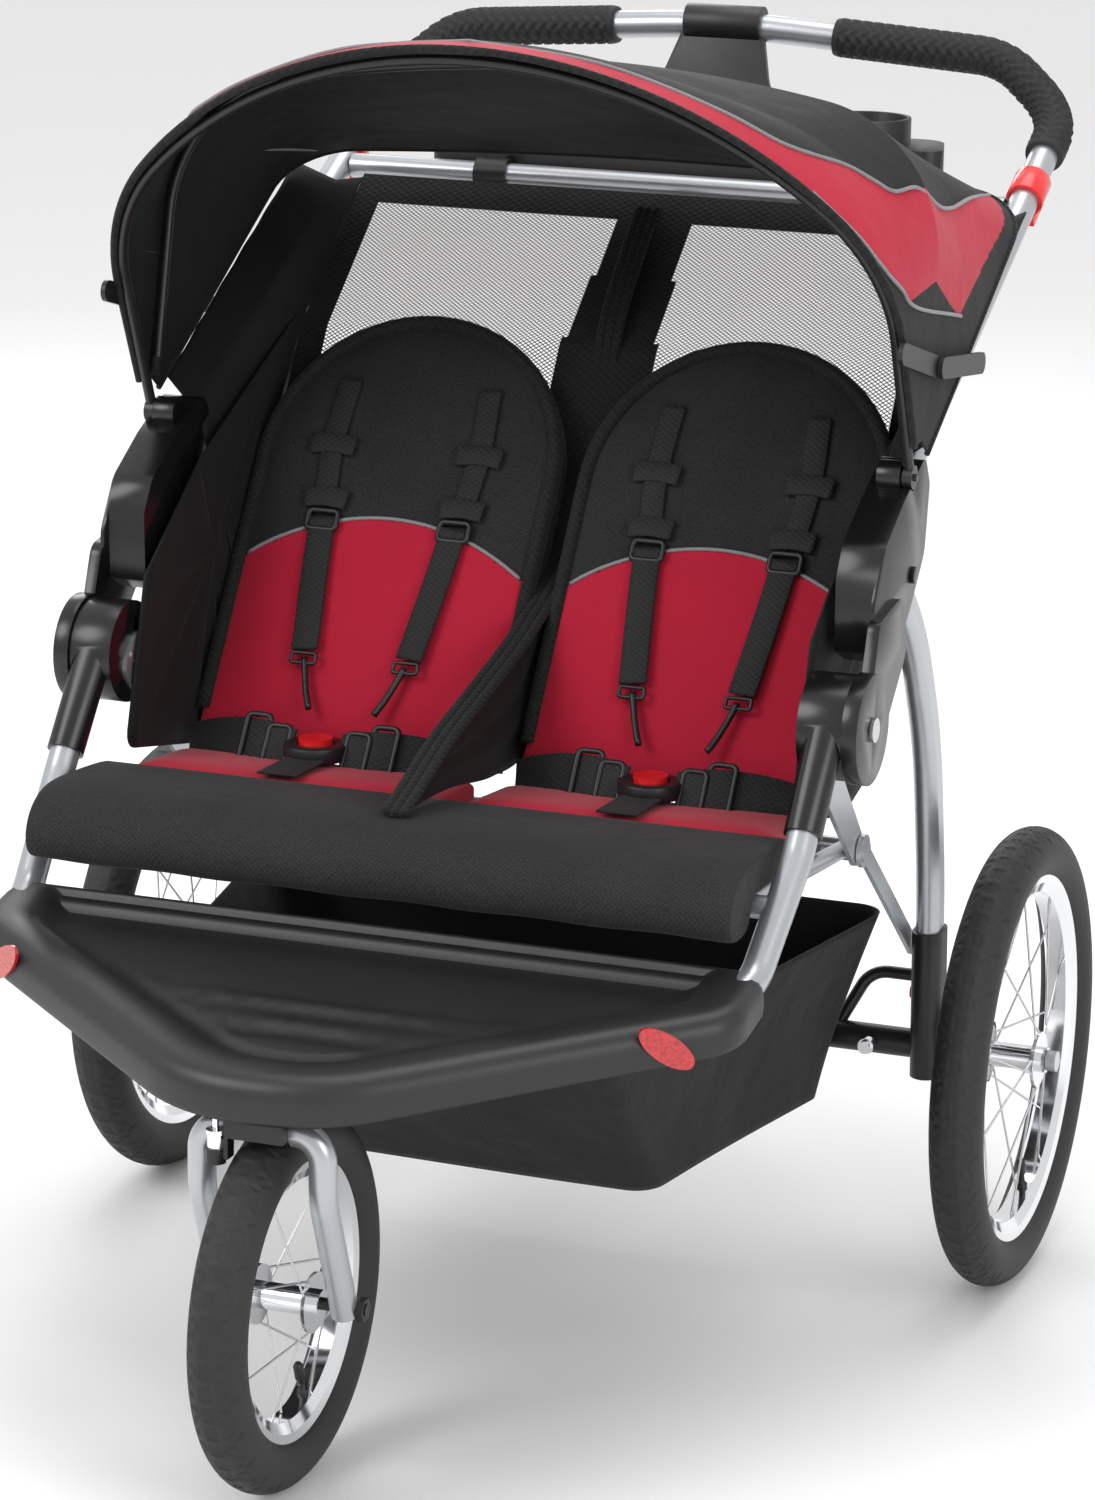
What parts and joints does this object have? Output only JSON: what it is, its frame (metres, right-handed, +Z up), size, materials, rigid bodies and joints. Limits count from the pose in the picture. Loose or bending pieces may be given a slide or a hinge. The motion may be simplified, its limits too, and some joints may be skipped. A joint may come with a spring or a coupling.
{
  "type": "jogging stroller",
  "caption": "Side-by-side double jogging stroller with a folding tube frame, spoked air wheels, footrest tray, canopy, basket and parent console.",
  "frame": {"origin": "on the floor, midway across the width and midway along the length of the finished stroller", "axes": "+X to the left of the people seated in it, -Y the way it rolls forward, +Z up"},
  "size_m": [0.8694, 1.1694, 1.0805],
  "materials": {
    "silver_frame": "satin silver powder coat",
    "black_casting": "semi-gloss black moulding",
    "black_plastic": "satin black moulding",
    "black_metal": "black powder coat",
    "red_plastic": "glossy red moulding",
    "chrome": "bright plating",
    "zinc": "zinc plated",
    "wire": "bright drawn wire",
    "tyre": "matt black tread",
    "foam": "embossed foam",
    "black_cloth": "woven polyester",
    "twill": "heathered twill",
    "webbing": "woven webbing",
    "mesh": "open mesh",
    "red_reflector": "faceted reflector",
    "seat_board": "hardboard"
  },
  "bodies": {
    "front_frame": {"front_frame_tube": "silver_frame", "lower_hinges": "black_casting", "fold_pins": "zinc", "seat_frame": "silver_frame", "seat_boards": "seat_board", "seat_pads": "twill", "seat_front_pad": "black_cloth", "footrest_tray": "black_plastic", "tray_reflectors": "red_reflector", "steering_head": "black_metal", "basket": "black_cloth", "centre_divider": "black_cloth", "harness_webbing": "webbing", "harness_buckles": "black_plastic"},
    "harness_button_left": {"harness_button_left": "red_plastic"},
    "harness_button_right": {"harness_button_right": "red_plastic"},
    "swivel_lock": {"swivel_lock": "chrome"},
    "fork": {"fork_legs": "silver_frame", "fork_fittings": "black_metal"},
    "front_wheel": {"tyre_front": "tyre", "rim_front": "chrome", "hub_front": "chrome", "spokes_front": "wire"},
    "upper_frame": {"handle_tube": "silver_frame", "handle_grips": "foam", "upper_hinges": "black_casting", "cross_tube": "silver_frame", "console": "black_plastic", "console_clamps": "black_plastic", "back_panel": "mesh", "side_panels": "black_cloth", "canopy_hood": "black_cloth"},
    "fold_lever_left": {"fold_lever_left": "red_plastic"},
    "fold_lever_right": {"fold_lever_right": "red_plastic"},
    "canopy_front_bow": {"canopy_front_bow": "black_metal"},
    "canopy_mid_bow": {"canopy_mid_bow": "black_metal"},
    "canopy_stay_front": {"canopy_stay_front": "black_plastic"},
    "canopy_stay_rear": {"canopy_stay_rear": "black_plastic"},
    "rear_legs": {"rear_legs": "silver_frame", "leg_sockets": "black_plastic", "axle_tube": "black_metal", "axle_braces": "black_metal", "rear_axles": "zinc"},
    "fold_links": {"fold_links": "silver_frame"},
    "brake_lever_left": {"brake_lever_left": "red_plastic"},
    "brake_lever_right": {"brake_lever_right": "red_plastic"},
    "release_pin_left": {"release_pin_left": "chrome"},
    "release_pin_right": {"release_pin_right": "chrome"},
    "rear_wheel_left": {"tyre_rear_left": "tyre", "rim_rear_left": "chrome", "hub_rear_left": "chrome", "spokes_rear_left": "wire", "brake_ring_left": "black_plastic"},
    "rear_wheel_right": {"tyre_rear_right": "tyre", "rim_rear_right": "chrome", "hub_rear_right": "chrome", "spokes_rear_right": "wire", "brake_ring_right": "black_plastic"},
    "seat_back_left": {"seat_back_left": "twill"},
    "seat_back_right": {"seat_back_right": "twill"}
  },
  "joints": [
    {"name": "fold", "type": "hinge", "parent": "front_frame", "child": "upper_frame", "pos_m": [0, -0.0745, 0.5575], "axis": [1, 0, 0], "range_deg": [0, 140], "deforming": ["canopy_hood", "back_panel", "side_panels", "centre_divider", "harness_webbing"]},
    {"name": "rear_leg_fold", "type": "hinge", "parent": "upper_frame", "child": "rear_legs", "pos_m": [0, 0.057, 0.656], "axis": [1, 0, 0], "range_deg": [-70.84, 0]},
    {"name": "link_swing", "type": "hinge", "parent": "front_frame", "child": "fold_links", "pos_m": [0, 0.07, 0.415], "axis": [1, 0, 0], "range_deg": [0, 101.08]},
    {"name": "canopy_fold", "type": "hinge", "parent": "upper_frame", "child": "canopy_front_bow", "pos_m": [0, 0.05, 0.738], "axis": [1, 0, 0], "range_deg": [-70, 0], "deforming": ["canopy_hood"]},
    {"name": "canopy_middle_fold", "type": "hinge", "parent": "upper_frame", "child": "canopy_mid_bow", "pos_m": [0, 0.05, 0.738], "axis": [1, 0, 0], "range_deg": [-47.04, 0], "deforming": ["canopy_hood"]},
    {"name": "canopy_stay_front_swing", "type": "hinge", "parent": "canopy_front_bow", "child": "canopy_stay_front", "pos_m": [0, -0.016, 0.85], "axis": [1, 0, 0], "range_deg": [-18.48, 0]},
    {"name": "canopy_stay_rear_swing", "type": "hinge", "parent": "upper_frame", "child": "canopy_stay_rear", "pos_m": [0, 0.197, 0.809], "axis": [1, 0, 0], "range_deg": [0, 45.92]},
    {"name": "caster", "type": "hinge", "parent": "front_frame", "child": "fork", "pos_m": [0, -0.488, 0.3], "axis": [0, 0, 1], "continuous": true},
    {"name": "front_wheel_spin", "type": "hinge", "parent": "fork", "child": "front_wheel", "pos_m": [0, -0.433, 0.152], "axis": [1, 0, 0], "continuous": true},
    {"name": "rear_wheel_left_spin", "type": "hinge", "parent": "rear_legs", "child": "rear_wheel_left", "pos_m": [0.3957, 0.23, 0.2], "axis": [1, 0, 0], "continuous": true},
    {"name": "rear_wheel_right_spin", "type": "hinge", "parent": "rear_legs", "child": "rear_wheel_right", "pos_m": [-0.3957, 0.23, 0.2], "axis": [1, 0, 0], "continuous": true},
    {"name": "swivel_lock_slide", "type": "slide", "parent": "fork", "child": "swivel_lock", "axis": [0, 0, 1], "range_m": [0, 0.006]},
    {"name": "recline_left", "type": "hinge", "parent": "front_frame", "child": "seat_back_left", "pos_m": [0.149, 0.03, 0.447], "axis": [-1, 0, 0], "range_deg": [-10, 8]},
    {"name": "fold_lever_left_slide", "type": "slide", "parent": "upper_frame", "child": "fold_lever_left", "axis": [0, 0.8886, 0.4587], "range_m": [0, 0.012], "stiffness_N_per_m": 900, "springref_m": -0.004},
    {"name": "brake_left_press", "type": "hinge", "parent": "rear_legs", "child": "brake_lever_left", "pos_m": [0.303, 0.248, 0.241], "axis": [-1, 0, 0], "range_deg": [0, 25]},
    {"name": "release_pin_left_pull", "type": "slide", "parent": "rear_legs", "child": "release_pin_left", "axis": [0, -1, 0], "range_m": [0, 0.006], "stiffness_N_per_m": 700, "springref_m": -0.003},
    {"name": "harness_button_left_press", "type": "slide", "parent": "front_frame", "child": "harness_button_left", "axis": [0, 0, -1], "range_m": [0, 0.003], "stiffness_N_per_m": 400, "springref_m": -0.003},
    {"name": "recline_right", "type": "hinge", "parent": "front_frame", "child": "seat_back_right", "pos_m": [-0.149, 0.03, 0.447], "axis": [-1, 0, 0], "range_deg": [-10, 8]},
    {"name": "fold_lever_right_slide", "type": "slide", "parent": "upper_frame", "child": "fold_lever_right", "axis": [0, 0.8886, 0.4587], "range_m": [0, 0.012], "stiffness_N_per_m": 900, "springref_m": -0.004},
    {"name": "brake_right_press", "type": "hinge", "parent": "rear_legs", "child": "brake_lever_right", "pos_m": [-0.303, 0.248, 0.241], "axis": [-1, 0, 0], "range_deg": [0, 25]},
    {"name": "release_pin_right_pull", "type": "slide", "parent": "rear_legs", "child": "release_pin_right", "axis": [0, -1, 0], "range_m": [0, 0.006], "stiffness_N_per_m": 700, "springref_m": -0.003},
    {"name": "harness_button_right_press", "type": "slide", "parent": "front_frame", "child": "harness_button_right", "axis": [0, 0, -1], "range_m": [0, 0.003], "stiffness_N_per_m": 400, "springref_m": -0.003}
  ],
  "couplings": [
    {"joint": "rear_leg_fold", "follows": "fold", "ratio": -0.506},
    {"joint": "link_swing", "follows": "fold", "ratio": 0.722},
    {"joint": "canopy_fold", "follows": "fold", "ratio": -0.5},
    {"joint": "canopy_middle_fold", "follows": "fold", "ratio": -0.336},
    {"joint": "canopy_stay_front_swing", "follows": "fold", "ratio": -0.132},
    {"joint": "canopy_stay_rear_swing", "follows": "fold", "ratio": 0.328}
  ]
}
